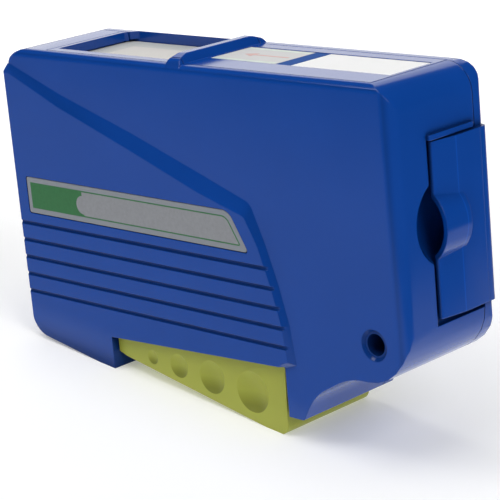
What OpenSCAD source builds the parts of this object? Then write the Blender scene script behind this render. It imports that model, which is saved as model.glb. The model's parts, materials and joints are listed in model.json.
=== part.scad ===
// Reel cassette that wipes fibre connector ends: a squeeze lever winds fresh cloth tape under a top window
// and draws the shutter back. X runs along the case to the latch end, Y from the front panel to the back
// cover and Z up. Inside the modules z is measured down from the top of the case.

/* [Case] */
// Length of the case from end to end, without the latch
case_l = 118.6; // [117:0.2:122]
// Thickness of the case, from the raised front panel to the back
case_t = 29.4; // [29.2:0.1:31]
// Drop from the top of the case to the underside of the narrow foot
foot_h = 74.6; // [74:0.2:76]
// Drop from the top of the case to the underside of the broad foot
heel_h = 73.5; // [72.8:0.1:74]
// Radius of the lower corner at the latch end
end_low_r = 11; // [9:0.5:11.5]
// Drop from the top of the case to the chin below the plain end
plain_h = 68.7; // [68:0.1:69.5]
// Drop from the top of the case to the ceiling of the arch beside the foot
arch_h = 62.35; // [61.6:0.05:63]
// Wall of the front shell
wall = 1.8; // [1.6:0.1:2]
// Wall of the back cover
cover_wall = 1.6; // [1.4:0.1:1.7]
// Height that the front panel stands proud
panel_proud = 1; // [0.8:0.1:1.1]
// Radius of the front edges
edge_r = 1.8; // [1.2:0.1:2]
// Radius of the upright edge at the latch end
end_r = 3; // [2:0.2:3.6]
// Radius of the back edges
back_r = 1.5; // [1:0.1:1.6]
// Depth of the back cover, from the seam to the back
cover_d = 3.2; // [3.1:0.1:3.4]
// Width of the seams between the outer pieces
seam = 0.2; // [0.15:0.05:0.3]

/* [Window and top plate] */
// Distance from the plain end to the window
window_x = 15; // [14.6:0.1:15.4]
// Length of the window
window_l = 40; // [38:0.5:40]
// Distance from the front panel to the window's front edge
window_y = 5.3; // [5.2:0.1:6]
// Corner cut at the back of the window
window_cut = 2.5; // [1.5:0.1:3]
// Thickness of the top plate
plate_t = 2.1; // [1.9:0.1:2.1]
// Height of the cross rib on the top
rib_h = 1.9; // [1.4:0.1:2.2]
// Width of the cross rib at its foot
rib_w = 4.4; // [4:0.1:5]
// Width of the label recess on the top plate
sticker_w = 13; // [11:0.5:14]

/* [Lever] */
// Gap of the case that the lever fills
slot_l = 55.1; // [54.6:0.1:55.6]
// Slope of the lever's underside, in degrees
lever_slope = 10.9; // [10.4:0.1:11.2]
// Wall of the lever
lever_wall = 1.65; // [1.5:0.05:1.7]
// Clearance between the lever's faces and the walls beside it
lever_gap = 0.2; // [0.15:0.05:0.3]
// Radius of the lever's pin
pin_r = 1; // [0.8:0.1:1.2]
// Diameter of the largest thumb dish
dish_d = 9.6; // [8.8:0.1:9.8]

/* [Tape drive] */
// Turn of the drive wheel at one squeeze, in degrees
wheel_turn = 66; // [60:1:67]
// Module of the teeth between the lever and the drive wheel
drive_module = 0.75; // [0.74:0.01:0.76]
// Teeth of the drive wheel's pinion
pinion_teeth = 12; // [12:1:12]
// Module of the shutter's rack
rack_module = 0.8; // [0.79:0.01:0.81]
// Teeth that the rack arc of the drive wheel would have as a full circle
rack_arc_teeth = 75; // [75:1:75]
// Teeth of the ratchet wheel
ratchet_teeth = 20; // [16:1:24]
// Space between the two reels
reel_gap = 6; // [5.5:0.1:8]
// Rim of the flange left bare round the full roll of clean tape
roll_margin = 2.5; // [2:0.1:6]
// Share of the winding depth that the used tape fills
used_share = 0.3; // [0.2:0.05:0.7]
// Width of the cleaning tape
tape_w = 14; // [13:0.1:14.2]
// Radius of the guide rollers
roller_r = 2.6; // [2:0.1:2.8]
// Running clearance of shafts and pins
run_gap = 0.05; // [0.03:0.01:0.08]
// Clearance of holes that slip over fixed posts
post_gap = 0.1; // [0.08:0.02:0.2]

/* [Latch and strap hole] */
// Height of the latch tongue
tongue_h = 36.8; // [35:0.1:37.5]
// Width of the latch tongue
tongue_w = 14.3; // [14:0.1:14.6]
// Height that the latch tongue stands proud of the end
tongue_proud = 1.4; // [1.2:0.1:1.8]
// Rise of the arched finger grip over the tongue
grip_rise = 2; // [1.8:0.1:2.4]
// Height of the arched finger grip
grip_h = 11.2; // [10.6:0.1:12]
// Radius of the strap hole
strap_r = 2.35; // [2:0.05:2.5]

/* [Hidden] */

$fn = 64;
// One overrun serves every cut
over = 2;
// Steps of each rounded corner of an outline
corner_steps = 6;
// Gap kept between pieces that move past each other
play = 0.3;

// Outline of the case
slot_x0 = 28.8;
slot_x1 = slot_x0 + slot_l;
slot_rise0 = 65.7;
slot_rise1 = 63.2;
slot_edge = (slot_rise0 - slot_rise1) / slot_l;
heel_toe = 1.4;
foot_w = 4.4;
foot_x1 = slot_x1 + foot_w;
arch_end = 16.1;
arch_x0 = case_l - arch_end;
knee_share = [0.26, 0.52];
knee = [foot_x1 + knee_share[0] * (arch_x0 - foot_x1), -foot_h + knee_share[1] * (foot_h - arch_h)];
case_pts = [[0, 0], [0, -plain_h], [slot_x0 - heel_toe, -heel_h], [slot_x0, -heel_h],
    [slot_x1, -foot_h], [foot_x1, -foot_h], knee, [arch_x0, -arch_h], [case_l, -arch_h], [case_l, 0]];
plain_top_r = 7;
end_top_r = 6.2;
chin_r = 5.8;
toe_r = 0.7;
knee_r = 14;
arch_r = 16;
case_radii = [plain_top_r, chin_r, toe_r, toe_r, toe_r, toe_r, knee_r, arch_r, end_low_r, end_top_r];
front_y = panel_proud;
inner_y0 = front_y + wall;
inner_y1 = case_t - cover_wall;
seam_y = case_t - cover_d;
shell_y1 = seam_y - seam / 2;
cover_y0 = seam_y + seam / 2;

// Outline of the raised panel: its upper edge sweeps down from the plain end and turns down the front
swoosh_z0 = 4.1;
swoosh_x = 76.2;
swoosh_z = 30.1;
swoosh_shares = [[0.03, 0.02], [0.25, 0.28], [0.55, 0.571], [0.83, 0.854]];
panel_x1 = 86.8;
fall_h = slot_rise1 - swoosh_z;
fall_run = panel_x1 - swoosh_x;
fall_shares = [[0.42, 0.2], [0.69, 0.455], [0.9, 0.71]];
bend_r = 3;
panel_toe = 0.4;
panel_edge_r = 0.4;
panel_spread = 3;
spread_shares = [0.28, 0.57, 0.87, 1];
bend_spread_share = 0.67;
fall_spread_share = 0.2;

// Grooves and label of the panel
groove_count = 5;
groove_z0 = 41.6;
groove_pitch = 4.25;
groove_r = 0.45;
label_x0 = 3.85;
label_z0 = 30.1;
label_h = 8.9;
label_l = 68;
label_slant = 5.2;
label_r = 3.5;
label_r_small = 0.6;
label_t = 0.25;
label_recess = 0.35;
label_gap = 0.15;

// Top plate, its rib and its labels
window_rim = 1.4;
plate_end_gap = 6.1;
plate_x0 = window_x - window_rim;
plate_x1 = case_l - plate_end_gap;
plate_y0 = inner_y0 + seam;
window_x1 = window_x + window_l;
window_back = 1.5;
window_y1 = case_t - window_back;
rib_top_w = 2.2;
rib_lean = 1;
rib_y0 = 1.2;
rib_back_gap = 0.8;
rib_y1 = case_t - rib_back_gap;
rib_sink = 1;
sticker_y0 = 9.85;
sticker_gap = 0.5;
sticker_margin = 1;
sticker_x0 = window_x1 + rib_w + sticker_gap;
sticker_x1 = plate_x1 - sticker_margin;
arrow_l = 19.5;
blue_l = 4.4;
ledge_t = 1.3;
ledge_w = 2.9;
ledge_lap = 0.7;
ledge_y0_gap = 1;
ledge_y1_gap = 0.5;

// Shutter and its rack
shutter_t = 0.9;
shutter_z1 = -plate_t - play;
shutter_z0 = shutter_z1 - shutter_t;
shutter_x0 = window_x - play;
shutter_tail = 2.6;
shutter_x1 = window_x1 + shutter_tail;
shutter_y0 = inner_y0 + play;
shutter_y1 = inner_y1 - play;
shutter_label_x0 = 21.5;
shutter_label_l = 31;
shutter_label_y0 = 8;
shutter_label_w = 14.3;
shutter_label_t = 0.1;

// Layers from the front wall back: toothed plates, ratchet, chassis, reels
tooth_y0 = shutter_y0;
tooth_t = 2;
tooth_y1 = tooth_y0 + tooth_t;
layer_gap = 0.2;
ratchet_t = 0.9;
ratchet_y0 = tooth_y1 + layer_gap;
ratchet_y1 = ratchet_y0 + ratchet_t;
chassis_y0 = ratchet_y1 + layer_gap;
chassis_t = 1.2;
chassis_y1 = chassis_y0 + chassis_t;
flange_t = 1;
brake_t = 0.3;
reel_y0 = chassis_y1 + brake_t + layer_gap / 2;
reel_clear = 0.2;
core_w = tape_w + 2 * reel_clear;
reel_y1 = reel_y0 + 2 * flange_t + core_w;
tape_y0 = reel_y0 + flange_t + reel_clear;

// Gearing
pressure_angle = 25;
addendum_share = 0.8;
dedendum_share = 1.1;
tooth_slack_share = 0.06;
pivot_set = 4.7;
pivot_drop = 62.8;
pivot = [slot_x0 + pivot_set, -pivot_drop];
barrel_r = 2.6;
rack_arc_r = rack_arc_teeth * rack_module / 2;
rack_drop = 1.7;
rack_pitch_z = shutter_z0 - rack_drop;
take_up_z = rack_pitch_z - rack_arc_r;
take_up_end = 40.6;
take_up = [case_l - take_up_end, take_up_z];
centre_dist = norm(take_up - pivot);
pinion_r = pinion_teeth * drive_module / 2;
arc_r = centre_dist - pinion_r;
arc_teeth = 2 * arc_r / drive_module;
line_angle = atan2(take_up[1] - pivot[1], take_up[0] - pivot[0]);
lever_stroke = wheel_turn * pinion_teeth / arc_teeth;
shutter_travel = wheel_turn * PI / 180 * rack_arc_r;
arc_pitch_angle = 360 / arc_teeth;
rack_pitch_angle = 360 / rack_arc_teeth;
rack_pitch = PI * rack_module;
arc_teeth_below = ceil(lever_stroke / arc_pitch_angle) + 1;
rack_teeth = ceil(wheel_turn / rack_pitch_angle) + 2;
rack_end_share = 0.2;
rack_lap = 20.3;
rack_x0 = min(take_up[0] - (rack_teeth + rack_end_share) * rack_pitch, shutter_x1 - rack_lap);
rack_x1 = take_up[0] + (1 + rack_end_share) * rack_pitch;
supply_gap = 5.7;
reel_pin_gap = 2;
reel_r = min((take_up[0] - reel_gap - wall - supply_gap) / 3,
    pivot_drop + take_up_z - barrel_r - reel_pin_gap);
supply = [wall + supply_gap + reel_r, take_up_z];

// Spindles and reels
spindle_r = 3;
core_r = 8;
supply_r = reel_r - roll_margin;
used_r = core_r + used_share * (reel_r - core_r);
hub_r = 4.6;
hub_gap = 0.3;
core_bore_r = hub_r + hub_gap;
key_w = 1.6;
key_count = 3;
spindle_tip = 0.8;
spindle_y1 = reel_y1 + spindle_tip;
reel_holes = 3;
reel_hole_share = 0.32;

// Lever form, at its rest position
lever_set = 0.65;
lever_y0 = front_y + lever_set;
lever_y1 = case_t - lever_y0;
lever_gap_left = 0.4;
lever_gap_right = 0.7;
lever_x0 = slot_x0 + lever_gap_left;
lever_x1 = slot_x1 - lever_gap_right;
lever_lap = 0.9;
lever_low_x = 36.08;
lever_low_z = 71.2;
lever_tip_r = 2.6;
lever_lean = 0.75;
lever_nose_r = 0.8;
boss_r = 2.4;
boss_y1 = tooth_y1 + layer_gap / 2;
barrel_y0 = boss_y1 + layer_gap;
barrel_end_gap = 0.5;
barrel_y1 = shell_y1 - barrel_end_gap;
hollow_x0 = pivot[0] + barrel_r + lever_wall / 2;
pocket_wall = lever_y0 - lever_gap;
pocket_rise = lever_lap + play + tan(lever_stroke) * (lever_x1 - pivot[0]);
lever_nose = on_low(lever_x0 + 3 * lever_nose_r);
lever_heel = on_low(lever_x1 - lever_lean);
lever_top = [lever_x1, slot_z(lever_x1) + lever_lap];
lever_radii = [0, lever_nose_r / 2, lever_nose_r, lever_tip_r, lever_nose_r, 0, 0];
lever_drop = lever_tip_r - fillet_centre(lever_nose, lever_heel, lever_top, lever_tip_r)[1];
dish_shares = [0.35, 0.59, 0.81, 1];
dish_place_shares = [[0.213, 0.24], [0.373, 0.28], [0.57, 0.33], [0.803, 0.405]];
dish_depth_share = 0.15;

// Toothed arc of the lever and its pegs
peg_r = 0.9;
peg_head_r = 1.4;
peg_head_t = 0.5;
peg_pad_r = 2;
peg_drop = 1.4;
peg_shares = [0.46, 0.68];
arc_y0 = lever_y0 + lever_wall;
arc_y1 = tooth_y1 - layer_gap / 2;
arc_rim = 3.2;
arc_end_share = 0.6;
arc_web_shares = [0.62, 0.42];
arc_web_angles = [3, 22];

// Drive wheel, ratchet and pawls
wheel_rim = 3.4;
wheel_hub = 5.4;
spoke_angle = 6;
hole_corner_r = 1;
ratchet_r = 9;
ratchet_tooth_h = 1;
ratchet_gap = 0.15;
pawl_peg_r = 0.7;
pawl_set = 2.6;
pawl_pin_r = ratchet_r + pawl_set;
pawl_angle = 128;
pawl_reach_angle = 26;
pawl_eye_r = 1.5;
pawl_tip_t = 0.8;
holding_run = 25.5;
holding_drop = 9.5;
holding_root = take_up + [holding_run, -holding_drop];
holding_peg_r = 1.6;
holding_eye_t = 1;
holding_angle = 322;
leaf_t = 0.8;

// Deck, pad, tape and rollers
pad_t = 1.2;
tape_t = 0.2;
pad_drop = 2.1;
pad_z1 = shutter_z0 - pad_drop;
deck_t = 1;
rail_t = 1.2;
rail_h = 7;
rail_z1 = shutter_z0 - play;
rail_z0 = rail_z1 - rail_h;
rail_x0 = 8.6;
rail_end_gap = 21.6;
rail_x1 = case_l - rail_end_gap;
rail_back_y1 = shell_y1 - play;
tie_w = 2;
tie_t = 1;
rail_hole_rim = 1.5;
rail_hole_gap = 5;
rail_hole_share = 0.63;
rail_holes = 3;
roller_z = pad_z1 - play - roller_r;
roller_left = [12.4, roller_z];
roller_right = [shutter_x1, roller_z];
roller_pin_r = 0.8;
roller_side_gap = 0.2;
rail_hole_pitch = (rail_x1 - tie_w - roller_right[0] - rail_hole_gap) / rail_holes;
deck_inset = 3;
deck_x0 = window_x + deck_inset;
deck_x1 = window_x1 - deck_inset;
pad_margin = 1;

// Spring, its seats and the chassis
spring_x = 60;
spring_y = 13.5;
spring_r = 2.7;
spring_wire_r = 0.3;
spring_turns = 7;
spring_top_z = -60;
spring_cup_z = -72.4;
cup_r = 3.8;
spigot_r = 2;
spigot_h = 2.4;
shelf_t = 1.2;
shelf_w = 10;
shelf_reach = 10;
screw_r = 1;
screw_head_r = 1.9;
screw_head_h = 0.6;
screw_boss_r = 2.6;
screw_bite = 0.5;
screw_slot_w = 0.4;
screw_set = reel_r + 3;
screw_angle = 42;
screw_wheel_gap = 9.5;
screw_wheel_angle = 149.5;
screw_points = [supply + polar(screw_set, 180 - screw_angle),
    supply + polar(screw_set, 180 + screw_angle),
    take_up + polar(rack_arc_r + screw_wheel_gap, screw_wheel_angle),
    take_up + polar(screw_set, -screw_angle)];
chassis_margin = 3.2;
chassis_low = screw_points[1][1] - chassis_margin;
chassis_right = screw_points[3][0] + chassis_margin;
chassis_shoulder = take_up_z + chassis_margin;
chassis_hole_r = 4.5;
chassis_hole_share = 0.6;
chassis_radii = [0, 2, 1, 0, 0, 1, 2, 4, 0];

// Latch tongue and its recess
tongue_z1 = 13.3;
tongue_z0 = tongue_z1 + tongue_h;
tongue_y0 = cover_y0 - tongue_w;
tongue_sink = 0.4;
tongue_x0 = case_l - tongue_sink;
tongue_x1 = case_l + tongue_proud;
recess_d = 1;
recess_gap = 0.9;
recess_top_gap = 0.4;
recess_low_gap = 1.4;
end_pad_t = 2.2;
end_pad_x = case_l - recess_d - end_pad_t;
grip_drop = 17.5;
grip_z = -tongue_z1 - grip_drop;
grip_r = (pow(grip_h / 2, 2) + pow(grip_rise, 2)) / (2 * grip_rise);
grip_x = tongue_x1 + grip_rise - grip_r;
grip_wall = 1;
grip_l = 7.8;
grip_end_l = 2.2;
scoop_r = 11;
scoop_set = 5.2;
scoop_y = 16.3;
scoop_rise = 0.6;
scoop_z = grip_z + scoop_rise;
lip_h = 1.1;
lip_proud = 0.9;
lip_end_gap = 1;
shoulder_lean = 0.9;
crease_y = 18.7;
nose_h = 0.45;
nose_w = 0.9;
nose_l = 5.4;
nose_inset = 2.2;
crease_lean = 1;

// Strap hole
strap_gap = 8.6;
strap_rise = 8.35;
strap = [case_l - strap_gap, strap_rise - arch_h];
strap_tube_r = 4;
strap_dish_r = 3.4;
strap_dish_d = 0.6;

// Hooks that the cover swings on
hook_h = 8;
hook_t = 1.1;
hook_z = [18, 45];
hook_drop = 2.4;
hook_y1 = seam_y - hook_drop;
hook_tip = 0.7;
hook_stem_t = 1.5;
bar_t = 1.6;
bar_y0 = seam_y - bar_t;
lip_t = 0.9;
lip_reach = 1.5;
lip_y0 = seam_y - lip_reach;
lip_gap = 0.2;
lip_w = 9.6;
hub_ring_gap = 0.5;

// Place of the case in the part's own frame: centred over its box, standing on the lever's tip
box_x = (grip_x + grip_r) / 2;
module place() translate([-box_x, -case_t / 2, lever_drop]) children();

// Outlines
function unit(v) = v / norm(v);
function left_of(v) = [-v[1], v[0]];
function turned(v, a) = [v[0] * cos(a) - v[1] * sin(a), v[0] * sin(a) + v[1] * cos(a)];
function polar(r, a) = r * [cos(a), sin(a)];
function turn_at(u, v) = atan2(u[0] * v[1] - u[1] * v[0], u * v);
function inset(pts, d) = [for (i = [0 : len(pts) - 1])
    let (a = pts[(i + len(pts) - 1) % len(pts)], p = pts[i], b = pts[(i + 1) % len(pts)],
        n1 = left_of(unit(p - a)), n2 = left_of(unit(b - p)))
    p + d * (n1 + n2) / (1 + n1 * n2)];
function inset_radii(pts, radii, d) = [for (i = [0 : len(pts) - 1])
    let (a = pts[(i + len(pts) - 1) % len(pts)], p = pts[i], b = pts[(i + 1) % len(pts)])
    bend(a, p, b) > 0 ? max(radii[i] - d, 0) : radii[i] + d];
function bend(a, p, b) = turn_at(unit(p - a), unit(b - p));
function fillet_start(a, p, b, r) = p - unit(p - a) * r * tan(abs(bend(a, p, b)) / 2);
function fillet_centre(a, p, b, r) =
    fillet_start(a, p, b, r) + left_of(unit(p - a)) * r * sign(bend(a, p, b));
function corner(a, p, b, r) =
    let (turn = bend(a, p, b), start = fillet_start(a, p, b, r), centre = fillet_centre(a, p, b, r))
    r <= 0 || turn == 0 ? [p]
        : [for (k = [0 : corner_steps]) centre + turned(start - centre, turn * k / corner_steps)];
function rounded(pts, radii) = [for (i = [0 : len(pts) - 1])
    each corner(pts[(i + len(pts) - 1) % len(pts)], pts[i], pts[(i + 1) % len(pts)], radii[i])];
function same(n, r) = [for (i = [1 : n]) r];
function box_pts(p, q) = [p, [q[0], p[1]], q, [p[0], q[1]]];

// Extrusions of an outline drawn in X and Z, or in Y and Z
module along_y(y0, y1) translate([0, y1, 0]) rotate([90, 0, 0]) linear_extrude(height = y1 - y0) children();
module along_x(x0, x1) translate([x0, 0, 0]) rotate([90, 0, 90]) linear_extrude(height = x1 - x0) children();
module block(p, q) translate(p) cube(q - p);
module rod(at, r, y0, y1) translate([at[0], y1, at[1]]) rotate([90, 0, 0]) cylinder(r = r, h = y1 - y0);

// A plate in X and Z whose edge slopes back from its face outline to its foot outline
module sloped_plate(face, foot, y0, y_foot, y1) {
    n = len(face);
    rings = [for (p = face) [p[0], y0, p[1]], for (p = foot) [p[0], y_foot, p[1]],
        for (p = foot) [p[0], y1, p[1]]];
    polyhedron(points = rings, faces = [[for (i = [n - 1 : -1 : 0]) i],
        for (r = [0, n]) for (i = [0 : n - 1]) [r + i, r + (i + 1) % n, r + n + (i + 1) % n, r + n + i],
        [for (i = [0 : n - 1]) 2 * n + i]]);
}

// Teeth
function involute(phi) = tan(phi) * 180 / PI - phi;
function half_angle(q, r, teeth, slack) = let (base = r * cos(pressure_angle))
    90 / teeth - slack + involute(pressure_angle) - (q > base ? involute(acos(base / q)) : 0);
function tooth(r, teeth, m, at) =
    let (root = r - dedendum_share * m, tip = r + addendum_share * m,
        slack = tooth_slack_share * m / r * 180 / PI, steps = 4,
        flank = [for (k = [0 : steps]) let (q = root + (tip - root) * k / steps)
            [q, half_angle(q, r, teeth, slack)]])
    [for (f = flank) polar(f[0], at - f[1]), for (k = [steps : -1 : 0]) polar(flank[k][0], at + flank[k][1])];
function teeth_between(r, teeth, m, at, first, last) =
    [for (k = [first : last]) each tooth(r, teeth, m, at + k * 360 / teeth)];

// Forms that several pieces share
module case_outline(d) polygon(rounded(inset(case_pts, d), inset_radii(case_pts, case_radii, d)));
module case_form() {
    low = -foot_h - over;
    intersection() {
        along_y(0, case_t) case_outline(0);
        translate([0, 0, low]) linear_extrude(height = over - low)
            polygon(rounded(box_pts([0, front_y], [case_l, case_t]), [edge_r, end_r, back_r, back_r]));
        along_x(-over, case_l + over)
            polygon(rounded(box_pts([front_y, low], [case_t, 0]), [0, 0, back_r, edge_r]));
    }
}
module cavity() along_y(inner_y0, inner_y1) case_outline(wall);
function swoosh_pt(k, spread) =
    [swoosh_x * swoosh_shares[k][0],
        -swoosh_z0 - (swoosh_z - swoosh_z0) * swoosh_shares[k][1] + spread * spread_shares[k]];
function fall_pt(k, spread) = [swoosh_x + fall_run * fall_shares[k][0] + spread * fall_spread_share,
    -swoosh_z - fall_h * fall_shares[k][1]];
function panel_pts(spread) = [
    [-over, -swoosh_z0 + spread * spread_shares[0]], [-over, -foot_h - over],
    [slot_x0 + over / 2, -foot_h - over], [slot_x0 + over, -slot_rise0 - over],
    [slot_x1 - over, -slot_rise1 - over], [slot_x1 + panel_toe, -slot_rise1 - panel_toe / 2],
    [panel_x1 + spread * fall_spread_share, -slot_rise1 + 2 * panel_toe],
    for (k = [len(fall_shares) - 1 : -1 : 0]) fall_pt(k, spread),
    each corner(fall_pt(0, spread), [swoosh_x + 2 * panel_toe + spread * fall_spread_share,
        -swoosh_z + spread * bend_spread_share], swoosh_pt(3, spread), bend_r),
    for (k = [len(swoosh_shares) - 1 : -1 : 0]) swoosh_pt(k, spread)];
module panel() {
    low = -foot_h - over;
    intersection() {
        sloped_plate(inset(panel_pts(0), panel_proud), panel_pts(panel_spread), 0, front_y,
            inner_y0 + wall / 2);
        along_y(-over, case_t) case_outline(0);
        translate([0, 0, low]) linear_extrude(height = over - low)
            polygon(rounded(box_pts([0, 0], [case_l, case_t]), [panel_edge_r, 0, 0, 0]));
    }
}
module window_outline() polygon([[window_x, window_y], [window_x1, window_y], [window_x1, window_y1],
    [window_x + window_cut, window_y1], [window_x, window_y1 - window_cut]]);
module rib_form() {
    foot = -rib_sink;
    x1 = window_x1 + rib_w;
    intersection() {
        along_y(0, case_t) polygon(rounded([[window_x1, foot], [x1, foot], [x1, 0],
            [window_x1 + rib_lean + rib_top_w, rib_h], [window_x1 + rib_lean, rib_h], [window_x1, 0]],
            [0, 0, 0, rib_lean / 2, rib_lean / 2, 0]));
        along_x(window_x1 - over, x1 + over)
            polygon(rounded([[rib_y0, foot], [rib_y1, foot], [rib_y1 - rib_sink, rib_h / 2],
                [rib_y1 - 2 * rib_h, rib_h], [rib_y0 + 2 * rib_h, rib_h], [rib_y0 + rib_sink, rib_h / 2]],
                [0, 0, rib_h, 2 * rib_h, 2 * rib_h, rib_h]));
    }
}
module slab(y0, y1) block([-over, y0, -foot_h - 2 * over], [case_l + 3 * over, y1, 2 * over]);

// The slot that the lever fills, and the thinner walls that it slides behind
function slot_z(x) = -slot_rise0 + (x - slot_x0) * slot_edge;
module slot_cut() along_y(-over, case_t + over) polygon([[slot_x0, slot_z(slot_x0)],
    [slot_x0, -foot_h - over], [slot_x1, -foot_h - over], [slot_x1, slot_z(slot_x1)]]);
module lever_pocket() along_y(pocket_wall, case_t - pocket_wall)
    polygon([[slot_x0, slot_z(slot_x0) + lever_lap + 2 * play], [slot_x0, -foot_h], [slot_x1, -foot_h],
        [slot_x1, slot_z(slot_x1) + pocket_rise]]);
module slot_sides(y0, y1) {
    side_z = slot_z(slot_x1) - lever_lap - play;
    intersection() {
        along_y(y0, y1) case_outline(0);
        union() {
            block([slot_x0 - wall, y0, -foot_h], [slot_x0, y1, side_z]);
            block([slot_x1, y0, -foot_h], [slot_x1 + wall, y1, side_z]);
        }
    }
}

// Front shell
module grooves() for (k = [0 : groove_count - 1]) {
    z = -groove_z0 - k * groove_pitch;
    translate([-over, 0, z]) rotate([0, 90, 0]) cylinder(r = groove_r, h = panel_x1 + over);
}
module label_outline(d) polygon(rounded(inset([[label_x0, -label_z0], [label_x0, -label_z0 - label_h],
    [label_x0 + label_l + label_slant, -label_z0 - label_h], [label_x0 + label_l, -label_z0]], d),
    [label_r_small, label_r_small, label_r_small, label_r]));
module scoop(grow) translate([case_l + scoop_set, scoop_y, scoop_z]) sphere(r = scoop_r + grow);
module latch_recess() block([case_l - recess_d, tongue_y0 - recess_gap, -tongue_z0 - recess_low_gap],
    [case_l + over, case_t, -tongue_z1 + recess_top_gap]);
module end_pad() block([end_pad_x, tongue_y0 - recess_gap - wall, -tongue_z0 - recess_low_gap - wall],
    [case_l + over, case_t, -tongue_z1 + recess_top_gap + wall]);
module latch_lip() {
    z1 = -tongue_z1 + recess_top_gap + lip_h;
    translate([0, 0, z1 - lip_h]) linear_extrude(height = lip_h)
        polygon(rounded(box_pts([case_l - over / 2, tongue_y0 - recess_gap],
            [case_l + lip_proud, shell_y1 - lip_end_gap]), [0, lip_proud / 2, lip_proud / 2, 0]));
}
function nose_z() = [-tongue_z1 - nose_inset - nose_l, -tongue_z0 + nose_inset];
module catch_ridges() for (z = nose_z())
    block([case_l - recess_d - wall / 2, tongue_y0 + 2 * nose_w + play, z],
        [tongue_x0 - nose_h / 2, tongue_y0 + 3 * nose_w, z + nose_l]);
module hook_slots() for (z = hook_z)
    block([-over, hook_y1 - hook_t - play, -z - hook_h - play], [2 * wall, bar_y0, -z + play]);
module shell_ledges() {
    y0 = tooth_y1 + ledge_y0_gap;
    y1 = shell_y1 - ledge_y1_gap;
    x0 = plate_x0 + ledge_lap;
    x1 = plate_x1 - ledge_lap;
    block([x0 - ledge_w, y0, -plate_t - ledge_t], [x0, y1, -plate_t]);
    block([x1, y0, -plate_t - ledge_t], [x1 + ledge_w, y1, -plate_t]);
    block([x0 - ledge_w, y0, -plate_t], [plate_x0 - seam, y1, -wall]);
    block([plate_x1 + seam, y0, -plate_t], [x1 + ledge_w, y1, -wall]);
}
module post(at, r, bore, y1, bore_y0) difference() {
    rod(at, r, inner_y0 - wall / 2, y1);
    rod(at, bore, bore_y0, y1 + over);
}
module shell_posts() {
    post(supply, spindle_r, spindle_r / 3, spindle_y1, reel_y0);
    post(take_up, spindle_r, spindle_r / 3, spindle_y1, reel_y0);
    post(strap, strap_tube_r, strap_r, shell_y1, front_y);
    post(pivot, boss_r, pin_r, boss_y1, pocket_wall);
    for (p = screw_points) post(p, screw_boss_r, screw_r, chassis_y0, inner_y0);
    rod(holding_root, holding_peg_r, inner_y0 - wall / 2, ratchet_y1);
}
module front_shell() color("royalblue") place() {
    difference() {
        union() {
            intersection() {
                case_form();
                slab(-over, shell_y1);
            }
            panel();
            latch_lip();
            intersection() {
                rib_form();
                slab(-over, inner_y0);
            }
        }
        difference() {
            cavity();
            end_pad();
            scoop(wall);
            slot_sides(0, case_t);
        }
        block([plate_x0 - seam, inner_y0, -wall - over / 2], [plate_x1 + seam, case_t, over]);
        slot_cut();
        lever_pocket();
        grooves();
        along_y(-over, label_recess) label_outline(0);
        latch_recess();
        scoop(0);
        hook_slots();
        rod(strap, strap_r, -over, case_t);
        rod(pivot, pin_r, pocket_wall, case_t);
        translate([strap[0], front_y - over, strap[1]]) rotate([-90, 0, 0])
            cylinder(r1 = strap_dish_r + over, r2 = strap_dish_r - strap_dish_d, h = over + strap_dish_d);
    }
    shell_ledges();
    catch_ridges();
    shell_posts();
}

// Top plate with the window, the cross rib and the label recess
module top_plate() color("royalblue") place() difference() {
    union() {
        block([plate_x0, plate_y0, -plate_t], [plate_x1, shell_y1, 0]);
        intersection() {
            rib_form();
            slab(plate_y0, shell_y1);
        }
    }
    translate([0, 0, -plate_t - over]) linear_extrude(height = plate_t + 2 * over) window_outline();
    block([sticker_x0, sticker_y0, -label_recess], [sticker_x1, sticker_y0 + sticker_w, over]);
}

// Back cover, which swings on two hooks at the plain end
module cover_lip() {
    intersection() {
        difference() {
            along_y(lip_y0, inner_y1) case_outline(wall + lip_gap);
            along_y(lip_y0 - over, case_t) case_outline(wall + lip_gap + lip_t);
        }
        union() {
            block([0, 0, -hook_z[0] + over], [lip_w, case_t, -2 * over]);
            block([0, 0, -plain_h + over], [lip_w, case_t, -hook_z[1] - hook_h - over]);
            block([0, 0, -hook_z[1] + over], [lip_w, case_t, -hook_z[0] - hook_h - over]);
        }
    }
    difference() {
        block([end_pad_x - lip_gap - lip_t, lip_y0, -tongue_z0 + over],
            [end_pad_x - lip_gap, inner_y1 + cover_wall / 2, -tongue_z1 - over]);
        scoop(wall + play);
    }
    for (z = hook_z) {
        stem_x = wall + lip_gap;
        block([hook_tip, hook_y1 - hook_t, -z - hook_h], [stem_x + hook_stem_t, hook_y1, -z]);
        block([stem_x, hook_y1 - hook_t, -z - hook_h], [stem_x + hook_stem_t, inner_y1 + cover_wall / 2, -z]);
    }
}
module latch_shoulder() translate([0, 0, -tongue_z0]) linear_extrude(height = tongue_h)
    polygon(rounded([[case_l - wall, cover_y0], [tongue_x1, cover_y0], [tongue_x1, case_t - shoulder_lean],
        [case_l - wall, case_t - seam]], [0, 0, tongue_proud, 0]));
module hub_ring(at) difference() {
    rod(at, core_bore_r + wall, reel_y1 + hub_ring_gap, inner_y1 + cover_wall / 2);
    rod(at, core_bore_r, reel_y1, inner_y1);
}
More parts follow.
